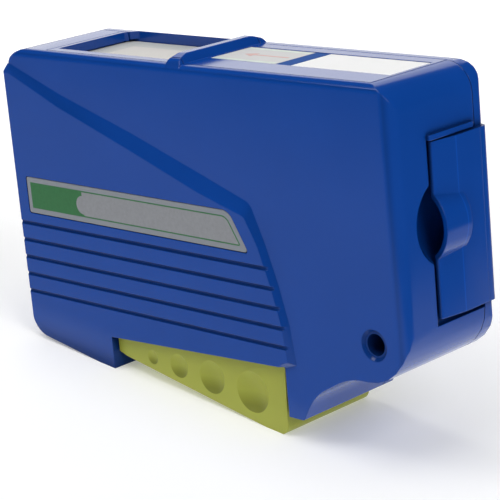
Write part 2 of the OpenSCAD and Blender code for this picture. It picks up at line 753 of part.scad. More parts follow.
module back_cover() color("royalblue") place() {
    difference() {
        union() {
            intersection() {
                case_form();
                slab(cover_y0, case_t + over);
            }
            latch_shoulder();
        }
        difference() {
            cavity();
            slot_sides(0, case_t);
            scoop(wall);
        }
        slot_cut();
        lever_pocket();
        translate([0, 0, -2 * plate_t]) linear_extrude(height = 2 * plate_t + over) window_outline();
        rod(strap, strap_r + play, 0, case_t + over);
    }
    intersection() {
        rib_form();
        slab(cover_y0, case_t);
    }
    cover_lip();
    hub_ring(supply);
    hub_ring(take_up);
    difference() {
        rod(pivot, boss_r, barrel_y1 + play, case_t - pocket_wall + wall / 4);
        rod(pivot, pin_r + lip_gap, barrel_y1, case_t - pocket_wall);
    }
}

// Latch tongue with its arched finger grip, open at the front over the scoop
module latch_tongue() color("royalblue") place() {
    y0 = tongue_y0;
    difference() {
        union() {
            translate([0, 0, -tongue_z0]) linear_extrude(height = tongue_h)
                polygon(rounded([[tongue_x0, y0], [tongue_x1 - crease_lean, y0], [tongue_x1, crease_y],
                    [tongue_x1, cover_y0], [tongue_x0, cover_y0]], [0, crease_lean / 2, 0, 0, 0]));
            intersection() {
                translate([grip_x, y0, grip_z]) rotate([-90, 0, 0]) {
                    cylinder(r = grip_r, h = grip_l);
                    translate([0, 0, grip_l]) cylinder(r1 = grip_r, r2 = grip_r - grip_rise, h = grip_end_l);
                }
                block([tongue_x0, 0, -tongue_z0], [case_l + 4 * over, case_t, -tongue_z1]);
            }
            for (z = nose_z()) block([tongue_x0 - nose_h, y0 + nose_w, z],
                [tongue_x0 + nose_h, y0 + 2 * nose_w, z + nose_l]);
        }
        translate([grip_x, y0 - over, grip_z]) rotate([-90, 0, 0]) {
            cylinder(r = grip_r - grip_wall, h = grip_l + over);
            translate([0, 0, grip_l + over])
                cylinder(r1 = grip_r - grip_wall, r2 = grip_r - grip_wall - grip_rise, h = grip_end_l);
        }
    }
}

// Shutter plate with the rack along its front edge, cut back under the case's round corner
function rack_tooth(x) = let (half = rack_pitch / 4 - tooth_slack_share * rack_module,
        up = dedendum_share * rack_module, down = addendum_share * rack_module, lean = tan(pressure_angle))
    [[x - half - up * lean, rack_pitch_z + up], [x - half + down * lean, rack_pitch_z - down],
     [x + half - down * lean, rack_pitch_z - down], [x + half + up * lean, rack_pitch_z + up]];
module shutter() color("silver") place() {
    block([shutter_x0, shutter_y0, shutter_z0], [shutter_x1, shutter_y1, shutter_z1]);
    along_y(tooth_y0, tooth_y1) polygon([[rack_x0, shutter_z1],
        for (k = [rack_teeth - 1 : -1 : -1]) each rack_tooth(take_up[0] - (k + 0.5) * rack_pitch),
        [rack_x1, rack_pitch_z + dedendum_share * rack_module], [rack_x1 - rack_pitch, shutter_z1]]);
}
module shutter_label() color("ivory") place()
    block([shutter_label_x0, shutter_label_y0, shutter_z1],
        [shutter_label_x0 + shutter_label_l, shutter_label_y0 + shutter_label_w,
            shutter_z1 + shutter_label_t]);

// Lever: a hollow wedge with a row of thumb dishes on both faces
function low_z(x) = -lever_low_z - tan(lever_slope) * (x - lever_low_x);
function on_low(x) = [x, low_z(x)];
function lever_pts() = [[lever_x0, slot_z(lever_x0) - play], [lever_x0, low_z(lever_x0) + lever_nose_r / 2],
    lever_nose, lever_heel, lever_top, [pivot[0] + barrel_r + over, slot_z(pivot[0]) + lever_lap],
    [lever_x0 + lever_nose_r, slot_z(lever_x0) + lever_lap / 2]];
module dish_balls(grow) for (k = [0 : len(dish_shares) - 1]) {
    d = dish_d * dish_shares[k];
    depth = d * dish_depth_share;
    ball = (pow(d / 2, 2) + pow(depth, 2)) / (2 * depth);
    x = lever_x0 + dish_place_shares[k][0] * (lever_x1 - lever_x0);
    z = slot_z(lever_x0) - dish_place_shares[k][1] * (lever_drop + slot_z(lever_x0));
    for (y = [lever_y0 + depth - ball, lever_y1 - depth + ball]) translate([x, y, z]) sphere(r = ball + grow);
}
module lever() color("yellowgreen") place() {
    difference() {
        union() {
            difference() {
                along_y(lever_y0, lever_y1) polygon(rounded(lever_pts(), lever_radii));
                difference() {
                    along_y(lever_y0 + lever_wall, lever_y1 - lever_wall) difference() {
                        polygon(rounded(inset(lever_pts(), lever_wall),
                            inset_radii(lever_pts(), lever_radii, lever_wall)));
                        polygon(box_pts([lever_x0 - over, -lever_drop], [hollow_x0, 0]));
                    }
                    dish_balls(wall / 2);
                }
                along_y(lever_y0 + lever_wall, lever_y1 - lever_wall)
                    polygon([[hollow_x0, slot_z(pivot[0]) - lever_lap],
                        [lever_x1 - lever_wall, slot_z(lever_x1) - lever_lap], [lever_x1 - lever_wall, 0],
                        [hollow_x0, 0]]);
            }
            rod(pivot, barrel_r, barrel_y0, barrel_y1);
            intersection() {
                translate([spring_x, spring_y, -lever_drop])
                    cylinder(r = cup_r, h = lever_drop + spring_cup_z);
                along_y(lever_y0, lever_y1) polygon(rounded(lever_pts(), lever_radii));
            }
            translate([spring_x, spring_y, spring_cup_z - lever_nose_r])
                cylinder(r = spigot_r, h = spigot_h + lever_nose_r);
        }
        dish_balls(0);
        rod(pivot, pin_r + run_gap, 0, case_t);
        rod(pivot, boss_r + play, 0, barrel_y0 - play / 2);
        rod(pivot, boss_r + play, barrel_y1 + play / 2, case_t);
    }
    for (p = arc_pegs()) {
        rod(p, peg_r, arc_y0 - lever_wall / 2, arc_y1 + peg_head_t);
        rod(p, peg_head_r, arc_y1 + run_gap, arc_y1 + peg_head_t);
    }
}

// Toothed arc that the lever carries, held by two headed pegs of the lever's front wall
function arc_pegs() = [for (share = peg_shares)
    [lever_x0 + share * (lever_x1 - lever_x0), slot_z(lever_x0) - peg_drop]];
module lever_arc() color("gainsboro") place() {
    low = line_angle - (arc_teeth_below + arc_end_share) * arc_pitch_angle;
    high = line_angle + (1 + arc_end_share) * arc_pitch_angle;
    inner = arc_r - arc_rim;
    pegs = [for (p = arc_pegs()) p - pivot];
    along_y(arc_y0, arc_y1) translate(pivot) difference() {
        union() {
            polygon([
                for (p = teeth_between(arc_r, arc_teeth, drive_module, line_angle, -arc_teeth_below, 1)) p,
                polar(inner, high),
                for (k = [0, 1]) polar(inner * arc_web_shares[k], high - arc_web_angles[k]),
                pegs[0] + [-peg_pad_r, 0], pegs[0] + [peg_pad_r, 0], pegs[1] + [-peg_pad_r, peg_r],
                pegs[1] + [peg_pad_r, 0], polar(inner, low)]);
            for (p = pegs) translate(p) circle(r = peg_pad_r);
        }
        for (p = pegs) translate(p) circle(r = peg_r + run_gap);
    }
}
module lever_pin() color("silver") place()
    rod(pivot, pin_r, pocket_wall + layer_gap / 2, case_t - pocket_wall - play);

// Compression spring: one sweep of the wire along a helix
module coil(at, r, wire, z0, z1, turns) {
    ring_steps = 10;
    sides = 6;
    n = turns * ring_steps;
    rise = (z1 - z0 - 2 * wire) / n;
    points = [for (k = [0 : n]) for (s = [0 : sides - 1])
        let (a = 360 * k / ring_steps, b = 360 * s / sides, q = r + wire * cos(b))
        [at[0] + q * cos(a), at[1] + q * sin(a), z0 + wire + k * rise + wire * sin(b)]];
    polyhedron(points = points, faces = [[for (s = [sides - 1 : -1 : 0]) s],
        for (k = [0 : n - 1]) for (s = [0 : sides - 1]) let (a = k * sides, t = (s + 1) % sides)
            [a + s, a + t, a + sides + t, a + sides + s],
        [for (s = [0 : sides - 1]) n * sides + s]]);
}
module lever_spring() color("silver") place()
    coil([spring_x, spring_y], spring_r, spring_wire_r, spring_cup_z, spring_top_z, spring_turns);

// Drive wheel: pinion for the lever's arc, and a toothed quadrant that pushes the shutter
module drive_wheel() color("whitesmoke") place() {
    first = -2;
    a0 = 90 + (first - arc_end_share) * rack_pitch_angle;
    a1 = 90 + (rack_teeth - 1 + arc_end_share) * rack_pitch_angle;
    root = rack_arc_r - rack_module * dedendum_share;
    inner = rack_arc_r - wheel_rim;
    hole_r = pinion_r + wheel_hub;
    half = (a1 - a0) / 2;
    along_y(tooth_y0, tooth_y1) translate(take_up) difference() {
        union() {
            polygon(teeth_between(pinion_r, pinion_teeth, drive_module, line_angle + 180 + 180 / pinion_teeth,
                0, pinion_teeth - 1));
            polygon([[0, 0], polar(root, a0),
                for (p = teeth_between(rack_arc_r, rack_arc_teeth, rack_module, 90, first, rack_teeth - 1)) p,
                polar(root, a1)]);
        }
        for (side = [0, 1]) {
            b0 = a0 + side * half + spoke_angle;
            b1 = a0 + (1 + side) * half - spoke_angle;
            polygon(rounded([polar(hole_r, b0 + spoke_angle / 2), polar(inner, b0), polar(inner, b1),
                polar(hole_r, b1 - spoke_angle / 2)], same(4, hole_corner_r)));
        }
        circle(r = spindle_r + run_gap);
    }
    rod(take_up + polar(pawl_pin_r, pawl_angle), pawl_peg_r, tooth_y1 - tooth_t / 4, ratchet_y1);
}

// Ratchet: saw teeth turned by the drive pawl, with a keyed hub for the take-up reel
function saw(r, depth, n) = [for (k = [0 : n - 1]) each [polar(r, 90 - k * 360 / n),
    polar(r - depth, 90 - k * 360 / n - 1)]];
module keyed_hub(y0, y1, r) {
    rod(take_up, r, y0, y1);
    for (k = [0 : key_count - 1]) translate([take_up[0], 0, take_up[1]]) rotate([0, k * 360 / key_count, 0])
        block([-key_w / 2, y0, r - key_w / 2], [key_w / 2, y1, r + key_w / 2]);
}
module ratchet_wheel() color("dimgray") place() difference() {
    union() {
        along_y(ratchet_y0, ratchet_y1) translate(take_up)
            polygon(saw(ratchet_r, ratchet_tooth_h, ratchet_teeth));
        keyed_hub(ratchet_y0 + ratchet_t / 2, reel_y1 - 2 * flange_t, hub_r);
    }
    rod(take_up, spindle_r + run_gap, 0, case_t);
}
module drive_pawl() color("dimgray") place() {
    at = take_up + polar(pawl_pin_r, pawl_angle);
    tip_angle = pawl_angle - pawl_reach_angle;
    tip = take_up + polar(ratchet_r - ratchet_tooth_h / 2, tip_angle);
    along_y(ratchet_y0, ratchet_y1) difference() {
        union() {
            translate(at) circle(r = pawl_eye_r);
            polygon([at + polar(pawl_eye_r, pawl_angle), at - polar(pawl_tip_t, pawl_angle), tip,
                tip + polar(pawl_tip_t, tip_angle)]);
        }
        translate(at) circle(r = pawl_peg_r + run_gap);
        translate(take_up) circle(r = ratchet_r + ratchet_gap);
    }
}
module holding_pawl() color("dimgray") place() {
    root = holding_root;
    tip = take_up + polar(ratchet_r + ratchet_gap, holding_angle);
    along = unit(tip - root);
    side = left_of(along);
    along_y(ratchet_y0, ratchet_y1) difference() {
        union() {
            translate(root) circle(r = holding_peg_r + holding_eye_t);
            polygon([root + side * leaf_t / 2, root - side * leaf_t / 2, tip - side * leaf_t / 2,
                tip + along * leaf_t, tip + side * leaf_t / 2]);
        }
        translate(root) circle(r = holding_peg_r);
        translate(take_up) circle(r = ratchet_r + ratchet_gap);
    }
}

// Reels, with three windows in each flange
module reel(at, bore) {
    difference() {
        union() {
            rod(at, core_r, reel_y0, reel_y1);
            for (y = [reel_y0, reel_y1 - flange_t]) rod(at, reel_r, y, y + flange_t);
        }
        rod(at, bore, 0, case_t);
        for (k = [0 : reel_holes - 1])
            rod(at + polar((core_r + reel_r) / 2, (k + 1 / 4) * 360 / reel_holes),
                (reel_r - core_r) * reel_hole_share, 0, case_t);
    }
}
module roll(at, r) difference() {
    rod(at, r, tape_y0, tape_y0 + tape_w);
    rod(at, core_r, 0, case_t);
}
module take_up_reel() color("whitesmoke") place() difference() {
    reel(take_up, core_bore_r);
    keyed_hub(0, case_t, core_bore_r);
}
module supply_reel() color("whitesmoke") place() reel(supply, spindle_r + run_gap);
module used_tape_roll() color("gainsboro") place() roll(take_up, used_r);
module clean_tape_roll() color("white") place() roll(supply, supply_r);
module reel_brake() color("dimgray") place() difference() {
    rod(supply, core_r - flange_t, chassis_y1, chassis_y1 + brake_t);
    rod(supply, spindle_r + post_gap, 0, case_t);
}

// Chassis plate: closes the gear layer, and its shelf carries the lever spring
module chassis_plate() color("darkgray") place() {
    low = spring_top_z;
    x0 = spring_x - shelf_w / 2;
    x1 = spring_x + shelf_w / 2;
    difference() {
        along_y(chassis_y0, chassis_y1) difference() {
            polygon(rounded([[rail_x0, rail_z0], [rail_x0, chassis_low], [x0, chassis_low], [x0, low],
                [x1, low], [x1, chassis_low], [chassis_right, chassis_low],
                [chassis_right, chassis_shoulder], [rail_x1, rail_z0]], chassis_radii));
            for (k = [-1 : 1]) translate(supply + polar(chassis_hole_share * reel_r, 90 * k))
                circle(r = chassis_hole_r);
        }
        rod(supply, spindle_r + post_gap, 0, case_t);
        rod(take_up, hub_r + key_w, 0, case_t);
        for (p = screw_points) rod(p, screw_r + post_gap, 0, case_t);
    }
    block([x0, chassis_y1 - chassis_t / 2, low], [x1, chassis_y1 + shelf_reach, low + shelf_t]);
    for (x = [x0, x1 - shelf_t]) along_x(x, x + shelf_t)
        polygon([[chassis_y1, low + shelf_t], [chassis_y1 + shelf_reach - shelf_t, low + shelf_t],
            [chassis_y1, low + shelf_w / 2]]);
    translate([spring_x, spring_y, low - spigot_h]) cylinder(r = spigot_r, h = spigot_h);
}
module chassis_screws() color("silver") place() for (p = screw_points) difference() {
    union() {
        rod(p, screw_r - run_gap, inner_y0 + screw_bite, chassis_y1 + screw_head_h / 2);
        rod(p, screw_head_r, chassis_y1, chassis_y1 + screw_head_h);
    }
    for (turn = [0, 90]) translate([p[0], chassis_y1 + screw_head_h / 2, p[1]]) rotate([0, turn, 0])
        block([-screw_r, 0, -screw_slot_w / 2], [screw_r, over, screw_slot_w / 2]);
}

// Deck: two rails join the platform under the window and guide the shutter
module tape_deck() color("lightgray") place() {
    y0 = chassis_y0;
    difference() {
        union() {
            block([rail_x0, y0, rail_z0], [rail_x1, y0 + rail_t, rail_z1]);
            block([rail_x0, rail_back_y1 - rail_t, rail_z0], [rail_x1, rail_back_y1, rail_z1]);
        }
        for (p = [roller_left, roller_right]) rod(p, roller_pin_r, 0, case_t);
        for (k = [0 : rail_holes - 1]) {
            x = roller_right[0] + rail_hole_gap + rail_hole_pitch * k;
            block([x, rail_back_y1 - over, rail_z0 + rail_hole_rim],
                [x + rail_hole_share * rail_hole_pitch, case_t, rail_z1 - rail_hole_rim]);
        }
    }
    block([deck_x0, y0, pad_z1 - pad_t - deck_t], [deck_x1, rail_back_y1, pad_z1 - pad_t]);
    block([rail_x1 - tie_w, y0, rail_z0], [rail_x1, rail_back_y1, rail_z0 + tie_t]);
}
module wiping_pad() color("dimgray") place() block([deck_x0 + pad_margin, tape_y0, pad_z1 - pad_t],
    [deck_x1 - pad_margin, tape_y0 + tape_w, pad_z1]);

// Tape: off the full roll, round both rollers and across the pad to the roll of used tape
function strip(path, t) = let (n = len(path), side = [for (i = [0 : n - 1])
        left_of(unit(path[min(i + 1, n - 1)] - path[max(i - 1, 0)]))])
    [for (i = [0 : n - 1]) path[i], for (i = [n - 1 : -1 : 0]) path[i] + side[i] * t];
function arc(centre, r, from, to, steps) = [for (k = [0 : steps])
    centre + polar(r, from + (to - from) * k / steps)];
module cleaning_tape() color("white") place() {
    wrap = roller_r + play;
    left_gap = supply_r + play;
    right_gap = used_r + play;
    gap_in = supply - roller_left;
    gap_out = take_up - roller_right;
    in_angle = atan2(gap_in[1], gap_in[0]) - acos((wrap - left_gap) / norm(gap_in));
    out_angle = atan2(gap_out[1], gap_out[0]) + acos((wrap - right_gap) / norm(gap_out));
    along_y(tape_y0, tape_y0 + tape_w) polygon(strip(concat(
        [supply + polar(left_gap, in_angle)],
        arc(roller_left, wrap, in_angle < 0 ? in_angle + 360 : in_angle, 90, 8),
        arc(roller_right, wrap, 90, out_angle, 5),
        [take_up + polar(right_gap, out_angle)]), tape_t));
}
module guide_roller(at) difference() {
    rod(at, roller_r, tape_y0 - roller_side_gap, tape_y0 + tape_w + roller_side_gap);
    rod(at, roller_pin_r + run_gap, 0, case_t);
}
module guide_roller_left() color("silver") place() guide_roller(roller_left);
module guide_roller_right() color("silver") place() guide_roller(roller_right);
module roller_pins() color("silver") place() for (p = [roller_left, roller_right])
    rod(p, roller_pin_r, chassis_y0, rail_back_y1);

// Labels, all without print
module front_label() color("gainsboro") place()
    along_y(label_recess - label_t, label_recess) label_outline(label_gap);
module top_label(x0, x1) block([x0, sticker_y0 + label_gap, -label_recess],
    [x1, sticker_y0 + sticker_w - label_gap, -label_recess + label_t]);
module arrow_label() color("white") place() top_label(sticker_x0 + label_gap, sticker_x0 + arrow_l);
module blue_label() color("steelblue") place()
    top_label(sticker_x0 + arrow_l + label_gap, sticker_x0 + arrow_l + blue_l);
module white_label() color("white") place()
    top_label(sticker_x0 + arrow_l + blue_l + label_gap, sticker_x1 - label_gap);

front_shell();
top_plate();
back_cover();
latch_tongue();
shutter();
shutter_label();
lever();
lever_arc();
lever_pin();
lever_spring();
drive_wheel();
drive_pawl();
ratchet_wheel();
holding_pawl();
take_up_reel();
used_tape_roll();
supply_reel();
clean_tape_roll();
reel_brake();
chassis_plate();
chassis_screws();
tape_deck();
wiping_pad();
cleaning_tape();
guide_roller_left();
guide_roller_right();
roller_pins();
front_label();
arrow_label();
blue_label();
white_label();
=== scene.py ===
"""Dresses the fibre cleaning cassette: plastics, metal, cloth tape, labels and its studio."""

import json
import math

import bmesh
import bpy
from bpy.props import FloatProperty, FloatVectorProperty, PointerProperty
from bpy.types import Operator, Panel, PropertyGroup
from mathutils import Matrix, Vector
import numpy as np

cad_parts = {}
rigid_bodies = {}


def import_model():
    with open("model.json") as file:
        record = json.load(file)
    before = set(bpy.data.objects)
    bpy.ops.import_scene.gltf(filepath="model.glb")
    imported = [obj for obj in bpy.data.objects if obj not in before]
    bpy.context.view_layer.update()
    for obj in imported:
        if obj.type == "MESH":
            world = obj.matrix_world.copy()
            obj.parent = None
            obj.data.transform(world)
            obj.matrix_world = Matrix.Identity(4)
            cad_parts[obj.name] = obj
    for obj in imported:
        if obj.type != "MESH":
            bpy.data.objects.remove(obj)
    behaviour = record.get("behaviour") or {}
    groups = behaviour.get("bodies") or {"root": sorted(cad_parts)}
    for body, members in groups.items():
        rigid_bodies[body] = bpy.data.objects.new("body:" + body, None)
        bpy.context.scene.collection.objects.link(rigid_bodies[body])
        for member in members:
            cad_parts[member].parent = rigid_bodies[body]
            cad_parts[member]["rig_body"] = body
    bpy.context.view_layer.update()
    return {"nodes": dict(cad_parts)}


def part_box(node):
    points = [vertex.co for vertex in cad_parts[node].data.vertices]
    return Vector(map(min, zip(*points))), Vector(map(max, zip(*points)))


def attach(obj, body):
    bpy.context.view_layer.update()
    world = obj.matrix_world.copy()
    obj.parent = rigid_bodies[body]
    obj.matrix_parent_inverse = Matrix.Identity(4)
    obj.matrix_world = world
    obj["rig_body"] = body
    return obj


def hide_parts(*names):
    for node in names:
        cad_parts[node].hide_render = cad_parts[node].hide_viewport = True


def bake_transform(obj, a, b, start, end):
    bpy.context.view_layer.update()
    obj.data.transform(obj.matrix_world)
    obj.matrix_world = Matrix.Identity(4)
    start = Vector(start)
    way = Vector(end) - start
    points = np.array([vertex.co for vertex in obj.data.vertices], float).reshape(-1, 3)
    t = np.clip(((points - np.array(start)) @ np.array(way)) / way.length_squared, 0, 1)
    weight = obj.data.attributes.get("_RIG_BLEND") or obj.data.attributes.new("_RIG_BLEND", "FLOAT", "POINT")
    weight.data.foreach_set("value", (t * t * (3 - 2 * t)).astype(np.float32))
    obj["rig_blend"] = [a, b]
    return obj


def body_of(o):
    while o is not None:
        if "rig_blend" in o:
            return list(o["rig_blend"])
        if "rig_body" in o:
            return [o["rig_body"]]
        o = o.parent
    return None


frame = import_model()

bl_info = {
    "name": "Fibre Cleaning Cassette",
    "version": (1, 0, 0),
    "blender": (4, 5, 0),
    "location": "3D View > Sidebar > Cassette",
    "description": "Finishes a reel cassette that wipes fibre connector ends",
    "category": "Object",
}

MM = 0.001

# Merging and shading of the CAD meshes
MERGE = 0.0005 * MM
CREASE = math.radians(17)
COIL_CREASE = math.radians(75)
EVEN_WEIGHT = 60

# The front's raised panel, whose slope has flatter edges that stay crisp
PANEL_CREASE = math.radians(12)
PANEL_LOW = Vector((-59, -15, 18)) * MM
PANEL_HIGH = Vector((25, -12.3, 77.6)) * MM

# Housing: its nodes, and places where its finish changes from the first distance to the second
HOUSING_NODES = ("front_shell", "back_cover", "top_plate")
LATCH_FOLD_Y = 3.9 * MM
FOLD_FADE = (0.06 * MM, 0.24 * MM)
STRAP_HOLE = Vector((49, 0, 25.6)) * MM
DISH_FADE = (3.3 * MM, 3.7 * MM)
RECESS_FADE = (75.5 * MM, 77.5 * MM)

# Weave of the wiping tape
THREAD_PITCH = 0.32 * MM
TAPE_SOIL = (0.25, 0.24, 0.23)
FELT_DARK = (0.03, 0.03, 0.03)
FELT_LIGHT = (0.16, 0.155, 0.15)

# Print of the front label: how far its right end leans, the radii of its corners, the margin at
# its right end in print margins, and the notch in the green field
LABEL_SLANT = 5.2 * MM
LABEL_CORNERS = (0.3 * MM, 0.4 * MM, 2.4 * MM, 0.3 * MM)
LABEL_END_MARGIN = 1.35
NOTCH_RADIUS = 2.2 * MM
NOTCH_HEIGHT = 0.45
NOTCH_STEPS = 14
NOTCH_FOOT = 0.8 * MM

# Print of the arrow label: bands along its sides, and an arrow whose ends are shares of its length
BAND_INSET = 0.4 * MM
BAND_FAR_SIDE = 1.6 * MM
ARROW_TIP = 0.22
ARROW_TAIL = 0.9
ARROW_HEAD_LENGTH = 3.2 * MM
ARROW_HEAD_HALF = 1.5 * MM
ARROW_SHAFT_HALF = 0.35 * MM

# Studio: a point of the floor, and each lamp's name, place, width, height and power
FLOOR_POINT = Vector((-33.35 * MM, 0, 6.306 * MM))
LAMP_TARGET = (0.0, 0.0, 0.04)
LAMPS = (
    ("overhead", (0.0, -0.15, 0.9), 0.8, 0.8, 4),
    ("key", (-0.55, -0.75, 1.0), 0.6, 0.6, 3.6),
    ("top_back", (-0.66, 0.84, 0.5), 1.2, 0.8, 3.7),
    ("side", (0.9, -0.2, 0.6), 0.5, 0.6, 4.2),
)

# Camera, solved from the edges of the case in the photo
SENSOR_WIDTH = 36
PICTURE_WIDTH = 500
FOCAL_LENGTH = 2033.604
CAMERA_PLACE = Vector((0.3145235, -0.2992, 0.1579261))
CAMERA_RIGHT = Vector((0.7056441985, 0.7030276565, -0.0884215998))
CAMERA_DOWN = Vector((0.1323266113, -0.2533448136, -0.9582828775))
CAMERA_AHEAD = Vector((-0.6961005193, 0.6645062224, -0.2718005654))


# Shader expressions


class Wire:
    """A number in a shader that plain arithmetic extends with Math nodes."""

    def __init__(self, tree, socket):
        self.tree = tree
        self.socket = socket

    def _maths(self, operation, *values, clamp=False):
        node = self.tree.nodes.new("ShaderNodeMath")
        node.operation = operation
        node.use_clamp = clamp
        for slot, value in zip(node.inputs, values):
            plug(self.tree, slot, value)
        return Wire(self.tree, node.outputs[0])

    def __add__(self, other):
        return self._maths("ADD", self, other)

    def __radd__(self, other):
        return self._maths("ADD", other, self)

    def __sub__(self, other):
        return self._maths("SUBTRACT", self, other)

    def __rsub__(self, other):
        return self._maths("SUBTRACT", other, self)

    def __mul__(self, other):
        return self._maths("MULTIPLY", self, other)

    def __rmul__(self, other):
        return self._maths("MULTIPLY", other, self)

    def __pow__(self, other):
        return self._maths("POWER", self, other)

    def wave(self):
        return self._maths("SINE", self)

    def size(self):
        return self._maths("ABSOLUTE", self)

    def between(self, low, high):
        """0 at low, 1 at high, straight between them."""
        return self._maths("MULTIPLY", self - low, 1 / (high - low), clamp=True)


def plug(tree, slot, value):
    """Links a wire or a socket to the slot, or sets the slot's value."""
    if isinstance(value, Wire):
        value = value.socket
    if isinstance(value, bpy.types.NodeSocket):
        tree.links.new(value, slot)
    elif isinstance(value, (tuple, list)) and slot.type == "RGBA" and len(value) == 3:
        slot.default_value = (*value, 1)
    else:
        slot.default_value = value


def plug_named(tree, node, sockets):
    """Plugs sockets given as keywords, whose names hold _ for a blank."""
    for name, value in sockets.items():
        plug(tree, node.inputs[name.replace("_", " ")], value)


class Finish:
    """A material in the making, on a Principled shader unless another is named."""

    def __init__(self, name, shader="ShaderNodeBsdfPrincipled"):
        self.material = bpy.data.materials.new(name)
        self.material.use_nodes = True
        self.tree = self.material.node_tree
        self.tree.nodes.clear()
        self.shader = self.tree.nodes.new(shader)
        out = self.tree.nodes.new("ShaderNodeOutputMaterial")
        self.surface = out.inputs["Surface"]
        self.tree.links.new(self.shader.outputs[0], self.surface)
        self.place = self.add("ShaderNodeTexCoord", output="Object").socket

    def add(self, kind, settings=None, values=None, output=0):
        """Adds any node: its settings first, then the values or links of its sockets."""
        node = self.tree.nodes.new(kind)
        for name, setting in (settings or {}).items():
            setattr(node, name, setting)
        for name, value in (values or {}).items():
            plug(self.tree, node.inputs[name], value)
        return Wire(self.tree, node.outputs[output])

    def set(self, **sockets):
        plug_named(self.tree, self.shader, sockets)

    def noise(self, size, detail=2, rough=0.5, stretch=None):
        """Cloudy values with features of about size millimetres."""
        place = self.place
        if stretch:
            values = {"Vector": place, "Scale": stretch}
            place = self.add("ShaderNodeMapping", None, values, "Vector")
        values = {
            "Vector": place,
            "Scale": 1 / (size * MM),
            "Detail": detail,
            "Roughness": rough,
        }
        return self.add("ShaderNodeTexNoise", None, values, "Fac")

    def specks(self, size):
        """Distance to scattered points about size millimetres apart."""
        return self.add(
            "ShaderNodeTexVoronoi",
            {"feature": "F1"},
            {"Vector": self.place, "Scale": 1 / (size * MM)},
            "Distance",
        )

    def axis(self, name):
        return self.add("ShaderNodeSeparateXYZ", None, {"Vector": self.place}, name)

    def flat_place(self):
        """Place on the front, with the depth left out."""
        values = {0: self.place, 1: (1, 0, 1)}
        return self.add("ShaderNodeVectorMath", {"operation": "MULTIPLY"}, values, "Vector")

    def distance(self, place, centre):
        values = {0: place, 1: centre}
        return self.add("ShaderNodeVectorMath", {"operation": "DISTANCE"}, values, "Value")

    def flat_normal(self):
        """The surface direction without eased edges."""
        return self.add("ShaderNodeNewGeometry", None, None, "Normal")

    def facing(self, name, normal=None):
        """How far the surface faces along an axis, from -1 to 1."""
        values = {"Vector": normal or self.flat_normal()}
        return self.add("ShaderNodeSeparateXYZ", None, values, name)

    def overlay(self, mask, **sockets):
        """Lays a second plastic over the first where the mask is 1."""
        over = self.tree.nodes.new("ShaderNodeBsdfPrincipled")
        plug_named(self.tree, over, sockets)
        self.blend_shaders(mask, self.shader.outputs[0], over.outputs[0])

    def blend_shaders(self, mask, low, high):
        """Makes the surface go from the shader low to the shader high by the mask."""
        both = self.add("ShaderNodeMixShader", None, {0: mask, 1: low, 2: high})
        plug(self.tree, self.surface, both)

    def mix(self, mask, low, high):
        """A colour that goes from low to high as the mask goes from 0 to 1."""
        factor, colour_a, colour_b, colour_out = 0, 6, 7, 2
        values = {factor: mask, colour_a: low, colour_b: high}
        return self.add("ShaderNodeMix", {"data_type": "RGBA"}, values, colour_out)

    def soft_edges(self, radius):
        """The surface direction with every edge eased over radius millimetres."""
        return self.add("ShaderNodeBevel", {"samples": 6}, {"Radius": radius * MM}, "Normal")

    def hollow_mask(self, reach, low, high):
        """1 deep in grooves and seams up to reach millimetres wide, 0 on open faces."""
        values = {"Distance": reach * MM}
        open_share = self.add("ShaderNodeAmbientOcclusion", {"samples": 6}, values, "AO")
        return (1 - open_share).between(low, high)

    def edge_mask(self, eased):
        """1 where easing turns the surface by 37 degrees or more, 0 where by 11 or less."""
        values = {0: eased, 1: self.flat_normal()}
        near = self.add("ShaderNodeVectorMath", {"operation": "DOT_PRODUCT"}, values, "Value")
        return (1 - near).between(0.02, 0.2)

    def bump(self, height, depth, normal=None):
        """Relief of height 0 to 1 over depth millimetres."""
        values = {"Height": height, "Distance": depth * MM, "Strength": 1.0}
        if normal:
            values["Normal"] = normal
        return self.add("ShaderNodeBump", None, values, "Normal")


def shade(colour, factor):
    """The colour made lighter or darker by a factor, without its alpha."""
    return tuple(min(1.0, c * factor) for c in colour[:3])


def dress(nodes, finish):
    """Gives CAD nodes a finish through their material slots."""
    for name in nodes:
        node = frame["nodes"][name]
        if not node.material_slots:
            node.data.materials.append(finish.material)
        for held in node.material_slots:
            held.material = finish.material


# Pieces


def finished(bm, name, finish, body):
    """Turns a bmesh into a piece that rides on a body, where one is given."""
    bmesh.ops.remove_doubles(bm, verts=bm.verts, dist=MERGE)
    bmesh.ops.recalc_face_normals(bm, faces=bm.faces)
    mesh = bpy.data.meshes.new(name)
    bm.to_mesh(mesh)
    bm.free()
    piece = bpy.data.objects.new(name, mesh)
    bpy.context.scene.collection.objects.link(piece)
    mesh.materials.append(finish.material)
    if body:
        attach(piece, body)
    return piece


def on_panel(vert):
    """True on the front's raised panel, whose slope keeps its crisp edges."""
    return all(low < at < high for low, at, high in zip(PANEL_LOW, vert.co, PANEL_HIGH))


def smooth_copy(node, finish, kind="moulding", crease=CREASE, rides=True):
    """Stands for a CAD node with its triangles merged and its rounded edges shaded as curves."""
    bm = bmesh.new()
    bm.from_mesh(frame["nodes"][node].data)
    bmesh.ops.remove_doubles(bm, verts=bm.verts, dist=MERGE)
    for face in bm.faces:
        face.material_index = 0
        face.smooth = True
    for edge in bm.edges:
        limit = PANEL_CREASE if all(on_panel(v) for v in edge.verts) else crease
        edge.smooth = edge.calc_face_angle(math.pi) < limit
    body = body_of(frame["nodes"][node])[0] if rides else None
    piece = finished(bm, f"{node}_{kind}", finish, body)
    even = piece.modifiers.new("even_shading", "WEIGHTED_NORMAL")
    even.keep_sharp = True
    even.weight = EVEN_WEIGHT
    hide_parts(node)
    return piece


